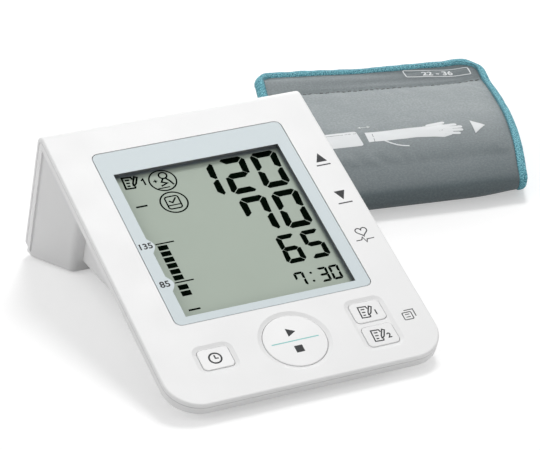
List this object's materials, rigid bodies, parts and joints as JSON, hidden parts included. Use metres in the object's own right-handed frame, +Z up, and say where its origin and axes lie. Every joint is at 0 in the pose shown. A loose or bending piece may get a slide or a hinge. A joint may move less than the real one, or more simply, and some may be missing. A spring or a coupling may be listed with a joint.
{
  "type": "upper-arm blood pressure monitor",
  "caption": "Upper-arm blood pressure monitor: sloping white console with a large display, round start key, side keys and rear battery leg, beside its folded grey cuff.",
  "frame": {"origin": "centre of the rear foot strip's contact face, on the surface that the monitor stands on", "axes": "+X to the right seen from the front, +Y to the back, +Z up"},
  "size_m": [0.2822, 0.2913, 0.0728],
  "materials": {
    "case_white": "moulded, very fine matte grain",
    "key_white": "moulded, satin",
    "window_clear": "clear acrylic, polished",
    "mask_blue": "printed film",
    "lcd_grey": "display glass over a grey-green reflector",
    "inner_plastic": "moulded, plain",
    "board_green": "solder mask",
    "silicone_clear": "translucent silicone",
    "foot_rubber": "soft rubber",
    "steel": "plated",
    "copper": "wound enamelled wire",
    "cell_jacket": "plain printed jacket",
    "cloth_grey": "coated nylon, fine weave",
    "cloth_inner": "brushed loop pile",
    "bladder_rubber": "thin sheet",
    "binding_teal": "ribbed edge binding"
  },
  "bodies": {
    "root": {"air_manifold": "inner_plastic", "air_socket": "inner_plastic", "base_case": "case_white", "battery_cell_1": "cell_jacket", "battery_cell_2": "cell_jacket", "battery_cell_3": "cell_jacket", "battery_cell_4": "cell_jacket", "battery_plates": "steel", "battery_springs": "steel", "board_screws": "steel", "buzzer": "inner_plastic", "case_screws": "steel", "clock_dome": "silicone_clear", "cuff_binding": "binding_teal", "cuff_bladder": "bladder_rubber", "cuff_hook_pad": "cloth_inner", "cuff_inner_cloth": "cloth_inner", "cuff_outer_cloth": "cloth_grey", "cuff_tube_fitting": "inner_plastic", "dc_jack": "inner_plastic", "display_window": "window_clear", "front_cover": "case_white", "front_feet": "foot_rubber", "key_board": "board_green", "key_board_screws": "steel", "lcd_holder": "inner_plastic", "lcd_panel": "lcd_grey", "main_board": "board_green", "memory_1_dome": "silicone_clear", "memory_2_dome": "silicone_clear", "pressure_sensor": "inner_plastic", "pump_head": "inner_plastic", "pump_motor": "steel", "pump_sleeve": "foot_rubber", "pump_tube": "silicone_clear", "rear_foot": "foot_rubber", "ribbon_cable": "inner_plastic", "sensor_tube": "silicone_clear", "socket_tube": "silicone_clear", "start_dome": "silicone_clear", "valve_coil": "copper", "valve_frame": "steel", "valve_spring": "steel", "window_mask": "mask_blue", "zebra_strips": "silicone_clear"},
    "battery_door": {"battery_cover": "case_white"},
    "pump_rotor": {"pump_shaft": "steel"},
    "valve_core": {"valve_plunger": "steel"},
    "start_key": {"start_button": "key_white"},
    "clock_key": {"clock_button": "key_white"},
    "memory_1_key": {"memory_1_button": "key_white"},
    "memory_2_key": {"memory_2_button": "key_white"}
  },
  "joints": [
    {"name": "start_press", "type": "slide", "parent": "root", "child": "start_key", "axis": [0, 0.3875, -0.9219], "range_m": [0, 0.0005], "stiffness_N_per_m": 1500, "deforming": ["start_dome"]},
    {"name": "clock_press", "type": "slide", "parent": "root", "child": "clock_key", "axis": [0, 0.3875, -0.9219], "range_m": [0, 0.0005], "stiffness_N_per_m": 1500, "deforming": ["clock_dome"]},
    {"name": "memory_1_press", "type": "slide", "parent": "root", "child": "memory_1_key", "axis": [0, 0.3875, -0.9219], "range_m": [0, 0.0005], "stiffness_N_per_m": 1500, "deforming": ["memory_1_dome"]},
    {"name": "memory_2_press", "type": "slide", "parent": "root", "child": "memory_2_key", "axis": [0, 0.3875, -0.9219], "range_m": [0, 0.0005], "stiffness_N_per_m": 1500, "deforming": ["memory_2_dome"]},
    {"name": "battery_cover_hinge", "type": "hinge", "parent": "root", "child": "battery_door", "pos_m": [0, 0.01282, 0.0103], "axis": [-1, 0, 0], "range_deg": [0, 95]},
    {"name": "pump_spin", "type": "hinge", "parent": "root", "child": "pump_rotor", "pos_m": [0, -0.05167, 0.02875], "axis": [1, 0, 0], "continuous": true},
    {"name": "valve_stroke", "type": "slide", "parent": "root", "child": "valve_core", "axis": [0, 0.9219, 0.3875], "range_m": [0, 0.001], "stiffness_N_per_m": 300, "deforming": ["valve_spring"]}
  ]
}
